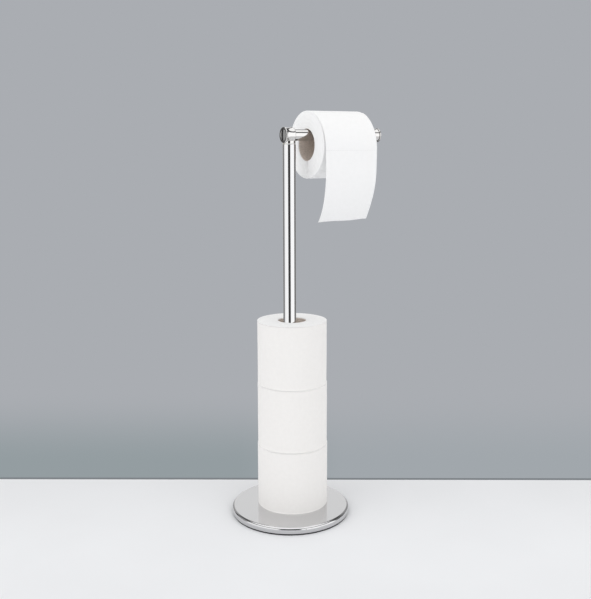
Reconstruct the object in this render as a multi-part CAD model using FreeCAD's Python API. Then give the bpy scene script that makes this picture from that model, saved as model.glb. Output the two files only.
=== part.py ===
import FreeCAD, Part
import math
import os

# Free-standing toilet roll holder with a stack of spare rolls on its post.
# Millimetres. The origin is the centre of the base's underside, on the floor.
# +Z is up, the roll arm points along +X, and the loose sheet hangs on the -Y side.

Vector = FreeCAD.Vector

# Fits and clearances
fit_clearance = 0.05          # between pieces that are pressed or screwed together
turning_clearance = 0.1       # between pieces that turn or lift out
paper_clearance = 0.3         # between paper or cardboard and the metal that it rests on
overrun = 1.0                 # how far a cutting tool runs past a face
point_tolerance = 0.000001    # points nearer than this are one point

# Base: a pressed steel cover over a cast weight, on a soft pad
base_radius = 93.0
base_height = 12.0
base_edge_radius = 4.0
cover_wall = 1.0
cover_lip_gap = 2.6           # height of the cover's lower lip above the floor
cover_lip_radius = 0.4
pad_thickness = 1.5
pad_margin = 0.4              # ring left between the pad's edge and the cover's wall
weight_margin = 0.3           # side gap between the weight and the cover's wall
weight_chamfer = 3.2          # keeps the weight clear of the cover's rounded edge
weight_web = 2.5              # metal left above the bolt's pocket
bolt_pocket_radius = 11.0

# Centre bolt and its washers
bolt_radius = 3.0
bolt_length = 21.0
bolt_head_radius = 7.0
bolt_head_thickness = 2.4
bolt_head_chamfer = 0.5
bolt_socket_flats = 4.0
bolt_socket_depth = 1.8
flat_washer_radius = 9.0
flat_washer_thickness = 1.0
spring_washer_radius = 5.6
spring_washer_thickness = 1.4
spring_washer_slot = 1.2
washer_hole_clearance = 0.2

# Post: two steel tubes over a foot insert and a joiner
post_radius = 10.0
post_wall = 1.2
post_seam_height = 296.0
tube_edge_chamfer = 0.3
foot_insert_length = 26.0
foot_insert_bore_depth = 20.0
joiner_length = 64.0
joiner_groove_width = 4.0
joiner_groove_depth = 0.8
insert_chamfer = 0.8

# Head: a waisted tee on a spigot that turns and lifts in a nylon sleeve
arm_axis_height = 592.0
collar_drop = 12.6            # from the arm's axis down to the collar's underside
barrel_end_radius = 12.0
barrel_waist_radius = 10.9
barrel_left_reach = 10.2      # from the post's axis to the barrel's capped end
barrel_right_reach = 5.5      # from the post's axis to the barrel's open end
barrel_edge_radius = 1.2
collar_radius = 9.5
collar_edge_radius = 0.4
collar_wall_height = 3.4      # straight part of the collar, above the post
collar_shoulder_radius = 3.0
spigot_hole_depth = 3.6
sleeve_flange_thickness = 0.7
sleeve_flange_radius = 9.6
sleeve_length = 30.0
sleeve_tip_chamfer = 0.6
spigot_radius = 6.2
spigot_length = 29.0
spigot_thread_radius = 4.0
spigot_thread_length = 3.1
spigot_tip_chamfer = 1.0
cap_length = 4.6
cap_recess = 0.2
cap_edge_chamfer = 0.3
cap_crown = 0.5               # the cap's face swells outwards by this much
cap_crown_share = 0.75        # a shallow arc keeps three quarters of its height half way out
set_screw_radius = 2.0
set_screw_station = 1.0       # from the post's axis along the arm
set_screw_socket_flats = 1.5
set_screw_socket_depth = 1.0
set_screw_recess = 0.3

# Roll arm and its end knob
arm_radius = 8.5
arm_wall = 1.0
arm_insert_length = 2.6       # how far the tube runs past the post's axis, inside the barrel
arm_tube_reach = 149.4        # from the post's axis to the tube's far end
knob_neck_length = 7.2
knob_neck_radius = 8.8
knob_flare_radius = 10.0
knob_flare_share = 0.22       # the neck stays slim to its middle and flares near the disc
knob_plug_length = 14.0
knob_plug_wall = 1.6
knob_disc_radius = 10.8
knob_disc_thickness = 2.4
knob_disc_edge_radius = 0.9
knob_disc_spigot_radius = 4.0
knob_disc_spigot_length = 5.0
knob_groove_width = 1.2       # shadow groove between the neck and the disc
knob_groove_radius = 8.0

# Spare rolls that stand on the base round the post
spare_roll_count = 3
spare_roll_width = 99.3
spare_roll_radius = 54.9
spare_roll_radius_step = 0.7  # each roll lower in the stack is this much larger
spare_roll_edge_radius = 1.6
spare_core_bore_radius = 21.3
core_wall = 1.0
spare_lean_x = 8.2            # the rolls stand off the post's axis within their cores' play
spare_lean_y = 7.2

# Roll that hangs on the arm, and its loose end
hanging_roll_near_face = 29.6 # from the post's axis
hanging_roll_width = 90.4
hanging_roll_radius = 50.8
hanging_roll_edge_radius = 1.2
hanging_core_bore_radius = 23.2
sheet_thickness = 0.5
sheet_start_angle = 20.0      # degrees from the roll's top towards the front
sheet_bow_radius = 58.5       # the loose end springs out from the roll
sheet_straight_length = 28.0
sheet_curl_radius = 140.0     # its lower part curls back under the roll
sheet_curl_angle = 33.8

# Places worked out from the sizes above
FULL_TURN = 360.0
Z_AXIS = Vector(0, 0, 1)
X_AXIS = Vector(1, 0, 0)
Y_AXIS = Vector(0, 1, 0)
FLOOR = Vector(0, 0, 0)
ARM_ORIGIN = Vector(0, 0, arm_axis_height)
post_bore_radius = post_radius - post_wall
collar_bottom = arm_axis_height - collar_drop
post_top_height = collar_bottom - sleeve_flange_thickness
hanging_roll_drop = hanging_core_bore_radius - arm_radius - paper_clearance
hanging_roll_axis_height = arm_axis_height - hanging_roll_drop
hanging_core_radius = hanging_core_bore_radius + core_wall
spare_core_radius = spare_core_bore_radius + core_wall
knob_disc_station = arm_tube_reach + knob_neck_length


class Outline:
    """A closed outline of (radius, station) points, to be turned about an axis."""

    def __init__(self, radius, station):
        self.start = (radius, station)
        self.steps = []

    def line(self, radius, station):
        self.steps.append(("line", (radius, station)))
        return self

    def arc(self, middle, end):
        self.steps.append(("arc", middle, end))
        return self

    def corner(self, centre, radius, start_degrees, end_degrees):
        """A quarter round: a line to its start, then the arc."""
        angles = (start_degrees, (start_degrees + end_degrees) / 2, end_degrees)
        points = [(centre[0] + radius * math.cos(math.radians(angle)),
                   centre[1] + radius * math.sin(math.radians(angle))) for angle in angles]
        self.line(*points[0])
        return self.arc(points[1], points[2])

    def wire(self, origin, axis):
        """The outline as a wire in a half-plane that holds the axis."""
        side = Z_AXIS if axis == X_AXIS else X_AXIS

        def place(point):
            return origin + side * point[0] + axis * point[1]

        edges = []
        last = self.start
        for step in self.steps + [("line", self.start)]:
            end = step[-1]
            if math.dist(last, end) < point_tolerance:
                continue
            if step[0] == "line":
                edges.append(Part.LineSegment(place(last), place(end)).toShape())
            else:
                edges.append(Part.Arc(place(last), place(step[1]), place(end)).toShape())
            last = end
        return Part.Wire(edges)


def turned(outline, origin=FLOOR, axis=Z_AXIS):
    """The solid that an outline makes in a full turn about the axis."""
    solid = Part.Face(outline.wire(origin, axis)).revolve(origin, axis, FULL_TURN)
    if solid.Volume < 0:
        solid.reverse()
    return solid


def rod(radius, start, length, origin=FLOOR, axis=Z_AXIS):
    """A plain round rod from a station along the axis."""
    return Part.makeCylinder(radius, length, origin + axis * start, axis)


def tube(radius, bore, start, length, origin=FLOOR, axis=Z_AXIS):
    """A plain tube from a station along the axis."""
    return rod(radius, start, length, origin, axis).cut(
        rod(bore, start - overrun, length + 2 * overrun, origin, axis))


def chamfered_tube(radius, bore, chamfer, start, end, origin=FLOOR, axis=Z_AXIS):
    """A tube whose outer edges are broken at both ends."""
    outline = Outline(bore, start)
    outline.line(radius - chamfer, start).line(radius, start + chamfer)
    outline.line(radius, end - chamfer).line(radius - chamfer, end).line(bore, end)
    return turned(outline, origin, axis)


def hex_prism(flats, length, origin, axis):
    """A hexagonal socket tool, measured across its flats."""
    side = Z_AXIS if axis != Z_AXIS else X_AXIS
    other = axis.cross(side)
    corner_radius = flats / (2 * math.cos(math.radians(30.0)))
    corners = []
    for index in range(7):
        angle = math.radians(60.0 * index)
        corners.append(origin + side * (corner_radius * math.cos(angle))
                       + other * (corner_radius * math.sin(angle)))
    return Part.Face(Part.makePolygon(corners)).extrude(axis * length)


def export(name, shape):
    shape.exportStep("parts/" + name + ".step")
    print(name, "solids", len(shape.Solids), "volume", round(shape.Volume, 1), "valid", shape.isValid())


# Base

def make_base_cover():
    """Pressed steel cover: flat top, rounded edge, and a hemmed lip just off the floor."""
    hole = bolt_radius + washer_hole_clearance
    centre = (base_radius - base_edge_radius, base_height - base_edge_radius)
    lip_centre_radius = base_radius - cover_wall / 2
    outline = Outline(hole, base_height - cover_wall)
    outline.line(hole, base_height)
    outline.corner(centre, base_edge_radius, 90.0, 0.0)
    outline.corner((base_radius - cover_lip_radius, cover_lip_gap + cover_lip_radius), cover_lip_radius, 0.0, -90.0)
    outline.corner((base_radius - cover_wall + cover_lip_radius, cover_lip_gap + cover_lip_radius),
                   cover_lip_radius, -90.0, -180.0)
    outline.corner(centre, base_edge_radius - cover_wall, 0.0, 90.0)
    return turned(outline)


def make_base_weight():
    """Cast disc that fills the cover, with a pocket below for the bolt's head."""
    radius = base_radius - cover_wall - weight_margin
    top = base_height - cover_wall
    pocket_top = top - weight_web
    hole = bolt_radius + washer_hole_clearance
    outline = Outline(hole, pocket_top)
    outline.line(hole, top).line(radius - weight_chamfer, top).line(radius, top - weight_chamfer)
    outline.line(radius, pad_thickness).line(bolt_pocket_radius, pad_thickness)
    outline.line(bolt_pocket_radius, pocket_top)
    return turned(outline)


def make_anti_slip_pad():
    """Soft foam disc glued under the weight; its underside is what stands on the floor."""
    return rod(base_radius - cover_wall - pad_margin, 0, pad_thickness)


def make_flat_washer():
    top = base_height - cover_wall - weight_web
    return tube(flat_washer_radius, bolt_radius + washer_hole_clearance,
                top - flat_washer_thickness, flat_washer_thickness)


def make_spring_washer():
    """Split ring under the flat washer."""
    top = base_height - cover_wall - weight_web - flat_washer_thickness
    ring = tube(spring_washer_radius, bolt_radius + washer_hole_clearance,
                top - spring_washer_thickness, spring_washer_thickness)
    slot = Part.makeBox(spring_washer_radius + overrun, spring_washer_slot, spring_washer_thickness + 2 * overrun,
                        Vector(0, -spring_washer_slot / 2, top - spring_washer_thickness - overrun))
    return ring.cut(slot)


def make_base_bolt():
    """Flat-headed connector bolt, driven up through weight and cover into the post."""
    head_top = base_height - cover_wall - weight_web - flat_washer_thickness - spring_washer_thickness
    head_bottom = head_top - bolt_head_thickness
    outline = Outline(0, head_bottom)
    outline.line(bolt_head_radius - bolt_head_chamfer, head_bottom)
    outline.line(bolt_head_radius, head_bottom + bolt_head_chamfer)
    outline.line(bolt_head_radius, head_top).line(bolt_radius, head_top)
    outline.line(bolt_radius, head_top + bolt_length - bolt_head_chamfer)
    outline.line(bolt_radius - bolt_head_chamfer, head_top + bolt_length).line(0, head_top + bolt_length)
    socket = hex_prism(bolt_socket_flats, bolt_socket_depth + overrun,
                       Vector(0, 0, head_bottom - overrun), Z_AXIS)
    return turned(outline).cut(socket)


# Post

def make_post_foot_insert():
    """Threaded plug pressed into the foot of the lower tube."""
    radius = post_bore_radius - fit_clearance
    bore = bolt_radius + fit_clearance
    bottom = base_height
    top = bottom + foot_insert_length
    bore_top = bottom + foot_insert_bore_depth
    outline = Outline(bore, bottom)
    outline.line(radius - insert_chamfer, bottom).line(radius, bottom + insert_chamfer)
    outline.line(radius, top - insert_chamfer).line(radius - insert_chamfer, top).line(0, top)
    outline.line(0, bore_top).line(bore, bore_top)
    return turned(outline)


def make_post_tube(bottom, top):
    return chamfered_tube(post_radius, post_bore_radius, tube_edge_chamfer, bottom, top)


def make_post_joiner():
    """Steel plug that lines up the two tubes; a shallow groove marks their seam."""
    radius = post_bore_radius - fit_clearance
    bottom = post_seam_height - joiner_length / 2
    top = post_seam_height + joiner_length / 2
    groove_bottom = post_seam_height - joiner_groove_width / 2
    groove_top = post_seam_height + joiner_groove_width / 2
    outline = Outline(0, bottom)
    outline.line(radius - insert_chamfer, bottom).line(radius, bottom + insert_chamfer)
    outline.line(radius, groove_bottom).line(radius - joiner_groove_depth, groove_bottom)
    outline.line(radius - joiner_groove_depth, groove_top).line(radius, groove_top)
    outline.line(radius, top - insert_chamfer).line(radius - insert_chamfer, top).line(0, top)
    return turned(outline)


# Head

def make_spigot_sleeve():
    """Nylon sleeve in the post's mouth, with a thin flange that the head turns on."""
    bore = spigot_radius + turning_clearance
    radius = post_bore_radius - turning_clearance
    top = collar_bottom - fit_clearance
    bottom = post_top_height - sleeve_length
    outline = Outline(bore, bottom)
    outline.line(radius - sleeve_tip_chamfer, bottom).line(radius, bottom + sleeve_tip_chamfer)
    outline.line(radius, post_top_height + fit_clearance)
    outline.line(sleeve_flange_radius, post_top_height + fit_clearance)
    outline.line(sleeve_flange_radius, top).line(bore, top)
    return turned(outline)


def make_head_spigot():
    """Turned pin under the tee; its thread holds it in the collar."""
    bottom = collar_bottom - spigot_length
    outline = Outline(0, bottom)
    outline.line(spigot_radius - spigot_tip_chamfer, bottom).line(spigot_radius, bottom + spigot_tip_chamfer)
    outline.line(spigot_radius, collar_bottom).line(spigot_thread_radius, collar_bottom)
    outline.line(spigot_thread_radius, collar_bottom + spigot_thread_length)
    outline.line(0, collar_bottom + spigot_thread_length)
    return turned(outline)


def make_head_tee():
    """Waisted barrel along the arm, with a short collar on top of the post."""
    left = -barrel_left_reach
    right = barrel_right_reach
    edge = barrel_edge_radius
    barrel = Outline(0, left)
    barrel.corner((barrel_end_radius - edge, left + edge), edge, -90.0, 0.0)
    barrel.arc((barrel_waist_radius, (left + right) / 2), (barrel_end_radius, right - edge))
    barrel.corner((barrel_end_radius - edge, right - edge), edge, 0.0, 90.0)
    barrel.line(0, right)
    collar = Outline(0, collar_bottom)
    collar.corner((collar_radius - collar_edge_radius, collar_bottom + collar_edge_radius),
                  collar_edge_radius, -90.0, 0.0)
    shoulder = collar_bottom + collar_wall_height
    collar.corner((collar_radius - collar_shoulder_radius, shoulder), collar_shoulder_radius, 0.0, 90.0)
    collar.line(collar_radius - collar_shoulder_radius, arm_axis_height).line(0, arm_axis_height)
    body = turned(barrel, ARM_ORIGIN, X_AXIS).fuse(turned(collar))
    bore_start = left - overrun
    bore_end = max(right, collar_radius) + overrun
    bore = rod(arm_radius + fit_clearance, bore_start, bore_end - bore_start, ARM_ORIGIN, X_AXIS)
    spigot_hole = rod(spigot_thread_radius + fit_clearance, collar_bottom - overrun, spigot_hole_depth + overrun)
    screw_hole = rod(set_screw_radius + fit_clearance, arm_radius, barrel_end_radius,
                     ARM_ORIGIN + X_AXIS * set_screw_station, Y_AXIS)
    return body.cut(bore).cut(spigot_hole).cut(screw_hole).removeSplitter()


def make_head_end_cap():
    """Round cap pressed into the barrel's left end, with a faintly crowned face."""
    rim = cap_recess - barrel_left_reach
    inner = rim + cap_length
    radius = arm_radius - fit_clearance
    face_radius = radius - cap_edge_chamfer
    outline = Outline(0, rim - cap_crown)
    outline.arc((face_radius / 2, rim - cap_crown * cap_crown_share), (face_radius, rim))
    outline.line(radius, rim + cap_edge_chamfer).line(radius, inner).line(0, inner)
    return turned(outline, ARM_ORIGIN, X_AXIS)


def make_arm_set_screw():
    """Headless screw in the back of the barrel that locks the arm tube."""
    start = arm_radius + fit_clearance
    end = barrel_waist_radius - set_screw_recess
    origin = ARM_ORIGIN + X_AXIS * set_screw_station
    screw = rod(set_screw_radius, start, end - start, origin, Y_AXIS)
    socket = hex_prism(set_screw_socket_flats, set_screw_socket_depth + overrun,
                       origin + Y_AXIS * (end - set_screw_socket_depth), Y_AXIS)
    return screw.cut(socket)


# Arm

def make_arm_tube():
    return chamfered_tube(arm_radius, arm_radius - arm_wall, tube_edge_chamfer,
                          -arm_insert_length, arm_tube_reach, ARM_ORIGIN, X_AXIS)


def make_arm_end_neck():
    """Flared neck plugged into the arm tube's far end."""
    plug_radius = arm_radius - arm_wall - fit_clearance
    bore = plug_radius - knob_plug_wall
    start = arm_tube_reach
    end = knob_disc_station
    seat = knob_disc_spigot_radius + fit_clearance
    outline = Outline(bore, start - knob_plug_length)
    outline.line(plug_radius, start - knob_plug_length).line(plug_radius, start)
    outline.line(knob_neck_radius, start)
    flare_middle = (knob_neck_radius + (knob_flare_radius - knob_neck_radius) * knob_flare_share, (start + end) / 2)
    outline.arc(flare_middle, (knob_flare_radius, end))
    outline.line(seat, end).line(seat, end - knob_disc_spigot_length - fit_clearance)
    outline.line(bore, end - knob_disc_spigot_length - fit_clearance)
    return turned(outline, ARM_ORIGIN, X_AXIS)


def make_arm_end_disc():
    """Flat round end disc that keeps the roll on the arm, set off from the neck by a groove."""
    start = knob_disc_station
    rim = start + knob_groove_width
    end = rim + knob_disc_thickness
    edge = knob_disc_edge_radius
    outline = Outline(0, start - knob_disc_spigot_length)
    outline.line(knob_disc_spigot_radius, start - knob_disc_spigot_length)
    outline.line(knob_disc_spigot_radius, start)
    outline.line(knob_groove_radius, start).line(knob_groove_radius, rim)
    outline.corner((knob_disc_radius - edge, rim + edge), edge, -90.0, 0.0)
    outline.corner((knob_disc_radius - edge, end - edge), edge, 0.0, 90.0)
    outline.line(0, end)
    return turned(outline, ARM_ORIGIN, X_AXIS)


# Rolls

def make_roll_paper(core_radius, radius, edge, start, width, origin, axis):
    """Wound paper: a thick ring with softened outer edges."""
    end = start + width
    outline = Outline(core_radius, start)
    outline.corner((radius - edge, start + edge), edge, -90.0, 0.0)
    outline.corner((radius - edge, end - edge), edge, 0.0, 90.0)
    outline.line(core_radius, end)
    return turned(outline, origin, axis)


def make_core(bore, start, width, origin, axis):
    """Cardboard core as wide as the paper."""
    return tube(bore + core_wall, bore, start, width, origin, axis)


def spare_roll_origin():
    return FLOOR + X_AXIS * spare_lean_x + Y_AXIS * spare_lean_y


def spare_roll_bottom(index):
    return base_height + index * spare_roll_width


def hanging_roll_origin():
    return Vector(0, 0, hanging_roll_axis_height)


def make_loose_sheet():
    """The roll's loose end: it springs out from the roll, hangs in front and curls back.

    Its section is an arc off the roll, a straight run and an arc back, each tangent to
    the next; the sheet is that line, thickened outwards, along the roll's width.
    """
    seat = hanging_roll_radius + paper_clearance
    start_angle = math.radians(sheet_start_angle)
    curl_angle = math.radians(sheet_curl_angle)
    bow_shift = sheet_bow_radius - seat
    # centre of the bow, level with the sheet's front-most point
    bow_y = bow_shift * math.sin(start_angle)
    bow_z = hanging_roll_axis_height - bow_shift * math.cos(start_angle)
    curl_y = bow_y - sheet_bow_radius + sheet_curl_radius
    curl_z = bow_z - sheet_straight_length
    middle_angle = (start_angle + math.pi / 2) / 2

    def section_point(y, z):
        return Vector(hanging_roll_near_face, y, z)

    def bow_point(angle, offset):
        reach = sheet_bow_radius + offset
        return section_point(bow_y - reach * math.sin(angle), bow_z + reach * math.cos(angle))

    def curl_point(angle, offset):
        reach = sheet_curl_radius + offset
        return section_point(curl_y - reach * math.cos(angle), curl_z - reach * math.sin(angle))

    def side(offset):
        return [Part.Arc(bow_point(start_angle, offset), bow_point(middle_angle, offset),
                         bow_point(math.pi / 2, offset)).toShape(),
                Part.LineSegment(bow_point(math.pi / 2, offset), curl_point(0, offset)).toShape(),
                Part.Arc(curl_point(0, offset), curl_point(curl_angle / 2, offset),
                         curl_point(curl_angle, offset)).toShape()]

    inner = side(0)
    outer = side(sheet_thickness)
    ends = [Part.LineSegment(bow_point(start_angle, 0), bow_point(start_angle, sheet_thickness)).toShape(),
            Part.LineSegment(curl_point(curl_angle, 0), curl_point(curl_angle, sheet_thickness)).toShape()]
    wire = Part.Wire(Part.__sortEdges__(inner + outer + ends))
    length = (sheet_bow_radius * (math.pi / 2 - start_angle) + sheet_straight_length
              + sheet_curl_radius * curl_angle)
    print("loose sheet", hanging_roll_width, "wide", round(length, 1), "long")
    return Part.Face(wire).extrude(X_AXIS * hanging_roll_width)


def main():
    os.makedirs("parts", exist_ok=True)
    export("base_cover", make_base_cover())
    export("base_weight", make_base_weight())
    export("anti_slip_pad", make_anti_slip_pad())
    export("base_bolt", make_base_bolt())
    export("flat_washer", make_flat_washer())
    export("spring_washer", make_spring_washer())
    export("post_foot_insert", make_post_foot_insert())
    export("post_lower_tube", make_post_tube(base_height, post_seam_height))
    export("post_joiner", make_post_joiner())
    export("post_upper_tube", make_post_tube(post_seam_height, post_top_height))
    export("spigot_sleeve", make_spigot_sleeve())
    export("head_spigot", make_head_spigot())
    export("head_tee", make_head_tee())
    export("head_end_cap", make_head_end_cap())
    export("arm_set_screw", make_arm_set_screw())
    export("arm_tube", make_arm_tube())
    export("arm_end_neck", make_arm_end_neck())
    export("arm_end_disc", make_arm_end_disc())
    for index in range(spare_roll_count):
        name = "spare_roll_%d" % (index + 1)
        radius = spare_roll_radius + spare_roll_radius_step * (spare_roll_count - 1 - 2 * index) / 2
        bottom = spare_roll_bottom(index)
        export(name + "_paper", make_roll_paper(spare_core_radius, radius, spare_roll_edge_radius,
                                                bottom, spare_roll_width, spare_roll_origin(), Z_AXIS))
        export(name + "_core", make_core(spare_core_bore_radius, bottom, spare_roll_width,
                                         spare_roll_origin(), Z_AXIS))
    export("hanging_roll_paper", make_roll_paper(hanging_core_radius, hanging_roll_radius, hanging_roll_edge_radius,
                                                 hanging_roll_near_face, hanging_roll_width,
                                                 hanging_roll_origin(), X_AXIS))
    export("hanging_roll_core", make_core(hanging_core_bore_radius, hanging_roll_near_face, hanging_roll_width,
                                          hanging_roll_origin(), X_AXIS))
    export("loose_sheet", make_loose_sheet())


main()
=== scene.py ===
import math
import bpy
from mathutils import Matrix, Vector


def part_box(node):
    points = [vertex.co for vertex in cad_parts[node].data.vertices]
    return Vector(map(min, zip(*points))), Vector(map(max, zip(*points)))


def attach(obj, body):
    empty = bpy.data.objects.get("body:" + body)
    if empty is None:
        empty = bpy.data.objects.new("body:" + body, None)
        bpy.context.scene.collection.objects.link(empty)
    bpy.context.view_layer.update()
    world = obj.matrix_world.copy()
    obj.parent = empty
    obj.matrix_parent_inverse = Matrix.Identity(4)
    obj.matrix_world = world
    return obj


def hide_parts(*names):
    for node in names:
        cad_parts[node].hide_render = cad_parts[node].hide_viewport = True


bl_info = {
    "name": "Toilet Roll Storage Holder",
    "version": (1, 0, 0),
    "blender": (4, 5, 0),
    "location": "View3D > Sidebar > Roll Holder",
    "description": "Gives a free-standing toilet roll holder its steel, wound tissue and cardboard",
    "category": "Object",
}

import bpy
import numpy as np
from bpy.props import FloatProperty, FloatVectorProperty, PointerProperty
from mathutils import Matrix, Vector

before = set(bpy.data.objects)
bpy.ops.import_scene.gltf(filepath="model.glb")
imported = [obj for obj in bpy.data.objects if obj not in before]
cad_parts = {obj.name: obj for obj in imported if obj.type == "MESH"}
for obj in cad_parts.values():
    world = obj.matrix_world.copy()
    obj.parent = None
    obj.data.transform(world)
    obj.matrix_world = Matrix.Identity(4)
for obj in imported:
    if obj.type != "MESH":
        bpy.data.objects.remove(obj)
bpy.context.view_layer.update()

MM = 0.001
FULL_TURN = 2.0 * math.pi
UP = Vector((0.0, 0.0, 1.0))
SPARE_ROLLS = ("spare_roll_1", "spare_roll_2", "spare_roll_3")
ARM_AXIS, POST_AXIS = 0, 2
# Directions on the arm and on the post: along it, to angle 0, and to a quarter turn
AXES = {ARM_AXIS: ((1, 0, 0), (0, 0, 1), (0, -1, 0)),
        POST_AXIS: ((0, 0, 1), (1, 0, 0), (0, 1, 0))}


def linear(hex_code):
    """An sRGB hex colour as linear red, green, blue and alpha."""
    parts = [int(hex_code[i:i + 2], 16) / 255.0 for i in (0, 2, 4)]
    return [c / 12.92 if c <= 0.04045 else ((c + 0.055) / 1.055) ** 2.4 for c in parts] + [1.0]


def darker(colour, share):
    """A linear colour at a share of its brightness."""
    return [c * share for c in colour[:3]] + [1.0]


TISSUE_WHITE = linear("FAFAFA")
SPARE_TISSUE_WHITE = linear("F3F1EF")
BOARD_BROWN = linear("E3D7CD")
STEEL_GREY = linear("D6D6D7")
BRIGHT_STEEL = linear("D9D8D7")
ZINC_BLUISH = linear("A9ADB0")
ZINC_WARM = linear("C4C4BC")
IRON_PAINT_BLACK = linear("26272A")
FOAM_CELL_BLACK = linear("1E1E20")
FOAM_WALL_BLACK = linear("2C2C2E")
NYLON_WHITE = linear("E6E5DF")
FLOOR_WHITE = linear("F0F1F3")
WALL_GREY = linear("AAADB2")
WALL_SHADE_LEFT = linear("949DA1")
WALL_SHADE_RIGHT = linear("A1A7AC")
WALL_FOOT_SHADE = linear("7E8387")


class HolderPaperSettings(bpy.types.PropertyGroup):
    """Sizes and colours of the wound tissue."""

    colour: FloatVectorProperty(
        name="Tissue", description="Colour of the tissue", subtype="COLOR", size=4,
        min=0.0, max=1.0, default=TISSUE_WHITE)
    spare_colour: FloatVectorProperty(
        name="Spare tissue", description="Colour of the spare rolls, a little warmer", subtype="COLOR",
        size=4, min=0.0, max=1.0, default=SPARE_TISSUE_WHITE)
    thickness: FloatProperty(
        name="Thickness", description="Thickness of one two-ply sheet", unit="LENGTH", default=0.35 * MM)
    edge_radius: FloatProperty(
        name="Edge radius", description="Softness of a spare roll's outer edges", unit="LENGTH",
        default=0.15 * MM)
    clearance: FloatProperty(
        name="Clearance", description="Gap between the roll in use and its loose end", unit="LENGTH",
        default=0.03 * MM)
    worn_edge_radius: FloatProperty(
        name="Worn edge radius", description="Softness of the outer edges of the roll in use",
        unit="LENGTH", default=1.2 * MM)
    winding_pitch: FloatProperty(
        name="Winding pitch", description="Distance between the windings drawn on a roll's end",
        unit="LENGTH", default=0.8 * MM)
    winding_depth: FloatProperty(
        name="Winding depth", description="Depth of the windings on a roll's end",
        unit="LENGTH", default=0.08 * MM)
    softness: FloatProperty(
        name="Softness", description="How far a roll's wall sinks in its soft places",
        unit="LENGTH", default=0.3 * MM)
    crease_depth: FloatProperty(
        name="Crease depth", description="Depth of the dent below the core at the hanging roll's near end",
        unit="LENGTH", default=6.5 * MM)


class HolderSheetSettings(bpy.types.PropertyGroup):
    """Route of the loose end down from the hanging roll."""

    start_angle: FloatProperty(
        name="Start", description="Where the sheet leaves the roll, from its top to the front",
        subtype="ANGLE", default=math.radians(20.0))
    bow_radius: FloatProperty(
        name="Bow radius", description="Radius of the sheet where it springs out from the roll",
        unit="LENGTH", default=58.5 * MM)
    straight_length: FloatProperty(
        name="Straight length", description="Length of the straight run", unit="LENGTH", default=28.0 * MM)
    curl_radius: FloatProperty(
        name="Curl radius", description="Radius of the lower part, which curls back",
        unit="LENGTH", default=140.0 * MM)
    curl_angle: FloatProperty(
        name="Curl angle", description="How far the lower part curls back", subtype="ANGLE",
        default=math.radians(33.8))
    twist: FloatProperty(
        name="Twist", description="How much further forward the left corner hangs than the right one",
        unit="LENGTH", default=5.4 * MM)
    slant: FloatProperty(
        name="Slant", description="How much longer the right edge is than the left one, as it was torn askew",
        unit="LENGTH", default=2.1 * MM)
    torn_from: FloatProperty(
        name="Sheet length", description="Distance from the torn edge to the next perforation",
        unit="LENGTH", default=110.0 * MM)


class HolderBoardSettings(bpy.types.PropertyGroup):
    """Cardboard cores."""

    colour: FloatVectorProperty(
        name="Cardboard", description="Colour of the cores", subtype="COLOR", size=4,
        min=0.0, max=1.0, default=BOARD_BROWN)
    wall: FloatProperty(name="Wall", description="Thickness of a core", unit="LENGTH", default=1.0 * MM)
    recess: FloatProperty(
        name="Recess", description="How far a core's ends lie inside the paper",
        unit="LENGTH", default=1.2 * MM)
    seam_lead: FloatProperty(
        name="Seam lead", description="Distance along the core in one turn of its spiral seam",
        unit="LENGTH", default=74.0 * MM)
    seam_depth: FloatProperty(
        name="Seam depth", description="Depth of the spiral seam", unit="LENGTH", default=0.25 * MM)


class HolderSteelSettings(bpy.types.PropertyGroup):
    """Finish of the steel pieces."""

    colour: FloatVectorProperty(
        name="Steel", description="Colour of the stainless steel", subtype="COLOR", size=4,
        min=0.0, max=1.0, default=STEEL_GREY)
    bright_colour: FloatVectorProperty(
        name="Bright steel", description="Colour of the buffed head and arm", subtype="COLOR", size=4,
        min=0.0, max=1.0, default=BRIGHT_STEEL)


class HolderStageSettings(bpy.types.PropertyGroup):
    """Camera, floor, wall and lamps."""

    camera_place: FloatVectorProperty(
        name="Camera", description="Place of the camera", subtype="TRANSLATION", unit="LENGTH", size=3,
        default=(-626.8 * MM, -1103.5 * MM, 580.6 * MM))
    heading: FloatProperty(
        name="Heading", description="Turn of the camera's view from +Y towards +X", subtype="ANGLE",
        default=math.radians(30.0))
    pitch: FloatProperty(
        name="Pitch", description="How far the camera looks down", subtype="ANGLE", default=0.1843)
    roll: FloatProperty(
        name="Roll", description="Turn of the camera about its view", subtype="ANGLE", default=-0.0025)
    lens: FloatProperty(
        name="Lens", description="Focal length in millimetres", unit="CAMERA", default=50.5)
    floor_depth: FloatProperty(
        name="Floor depth", description="Distance from the post to the wall behind it",
        unit="LENGTH", default=121.6 * MM)
    wall_slope: FloatProperty(
        name="Wall slope", description="How much nearer the wall comes for each metre to the right",
        default=0.0104)
    floor_colour: FloatVectorProperty(
        name="Floor", description="Colour of the floor", subtype="COLOR", size=4,
        min=0.0, max=1.0, default=FLOOR_WHITE)
    wall_colour: FloatVectorProperty(
        name="Wall", description="Colour of the wall, and of what the camera sees beside it",
        subtype="COLOR", size=4, min=0.0, max=1.0, default=WALL_GREY)
    key_strength: FloatProperty(
        name="Key", description="Strength of the light from the left", min=0.0, default=0.46)
    fill_strength: FloatProperty(
        name="Fill", description="Strength of the light from the right", min=0.0, default=0.4)


# Nodes and materials

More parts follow.
